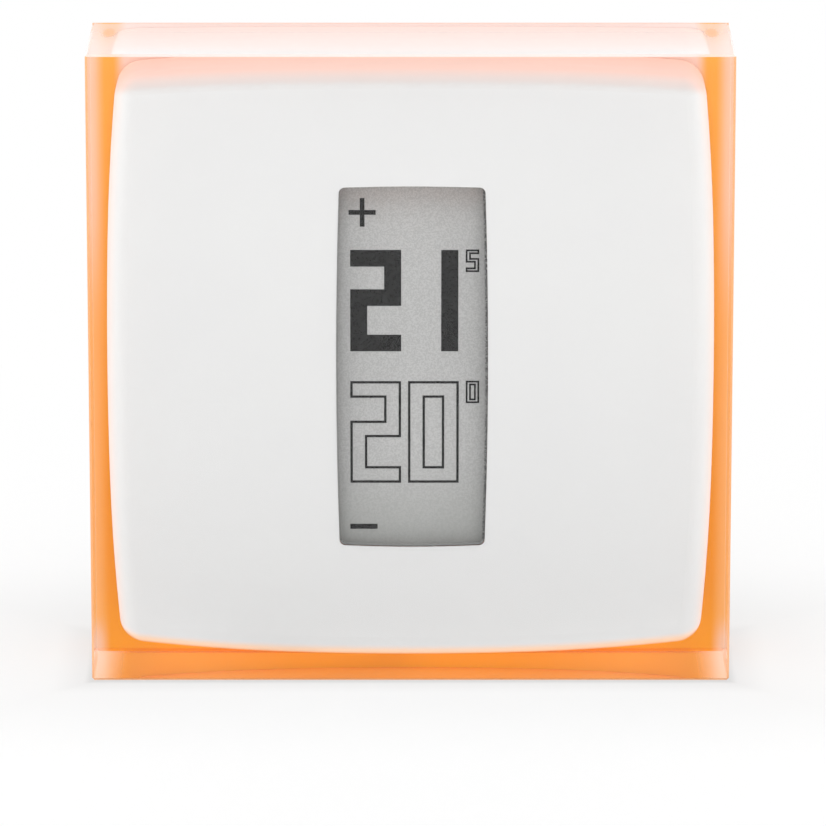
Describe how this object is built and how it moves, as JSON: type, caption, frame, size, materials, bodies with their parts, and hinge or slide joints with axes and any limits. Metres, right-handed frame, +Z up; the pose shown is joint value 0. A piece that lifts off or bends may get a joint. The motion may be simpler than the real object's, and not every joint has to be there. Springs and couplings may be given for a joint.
{
  "type": "wall thermostat",
  "caption": "Square wall thermostat: clear acrylic block tinted orange around a white pillow-shaped face and a tall grey e-paper display; the cover rocks to step the temperature.",
  "frame": {"origin": "centre of the wall plate's back face, on the wall", "axes": "+Y into the wall, so the front looks along -Y; +Z up; +X to the right as seen from the front"},
  "size_m": [0.083, 0.022, 0.083],
  "materials": {
    "clear_acrylic": "polished",
    "orange_film": "satin",
    "white_plastic": "fine matte",
    "chassis_plastic": "moulded",
    "plate_plastic": "moulded",
    "steel": "plain",
    "nickel": "plated",
    "brass": "plain",
    "board_green": "solder mask",
    "black_plastic": "moulded",
    "terminal_grey": "moulded",
    "display_backing": "polished",
    "display_face": "paper-like",
    "foam": "foam",
    "ribbon_amber": "satin",
    "white_ceramic": "plain",
    "battery_label": "printed label",
    "capacitor_can": "drawn can"
  },
  "bodies": {
    "wall_plate": {"wall_plate": "plate_plastic", "terminal_block": "terminal_grey", "terminal_screws": "steel", "wire_clamps": "brass", "contact_rivets": "brass"},
    "cover": {"clear_cover": "clear_acrylic", "tint_film": "orange_film", "face_liner": "white_plastic"},
    "plunger_top": {"plunger_top": "black_plastic"},
    "plunger_bottom": {"plunger_bottom": "black_plastic"},
    "chassis": {"chassis": "chassis_plastic", "pivot_pins": "steel", "main_board": "board_green", "board_screws": "steel", "display_pad": "foam", "display_glass": "display_backing", "display_laminate": "display_face", "display_ribbon": "ribbon_amber", "ribbon_connector": "black_plastic", "radio_base": "board_green", "radio_shield": "nickel", "radio_antenna": "white_ceramic", "microcontroller": "black_plastic", "temperature_sensor": "black_plastic", "power_relay": "black_plastic", "capacitors": "capacitor_can", "switch_bodies": "nickel", "battery_top": "battery_label", "battery_middle": "battery_label", "battery_bottom": "battery_label", "contact_bridge_left": "nickel", "contact_tab_left": "nickel", "contact_bridge_right": "nickel", "contact_tab_right": "nickel", "spring_contacts": "brass"}
  },
  "joints": [
    {"name": "pull_off", "type": "slide", "parent": "wall_plate", "child": "chassis", "axis": [0, -1, 0], "range_m": [0, 0.03]},
    {"name": "cover_rock", "type": "hinge", "parent": "chassis", "child": "cover", "pos_m": [0, -0.0105, 0], "axis": [-1, 0, 0], "range_deg": [-0.4, 0.4], "stiffness_Nm_per_rad": 3},
    {"name": "plunger_top_press", "type": "slide", "parent": "chassis", "child": "plunger_top", "axis": [0, 1, 0], "range_m": [-0.00022, 0.00022]},
    {"name": "plunger_bottom_press", "type": "slide", "parent": "chassis", "child": "plunger_bottom", "axis": [0, 1, 0], "range_m": [-0.00022, 0.00022]}
  ],
  "couplings": [
    {"joint": "plunger_top_press", "follows": "cover_rock", "m_per_rad": 0.0295},
    {"joint": "plunger_bottom_press", "follows": "cover_rock", "m_per_rad": -0.0295}
  ]
}
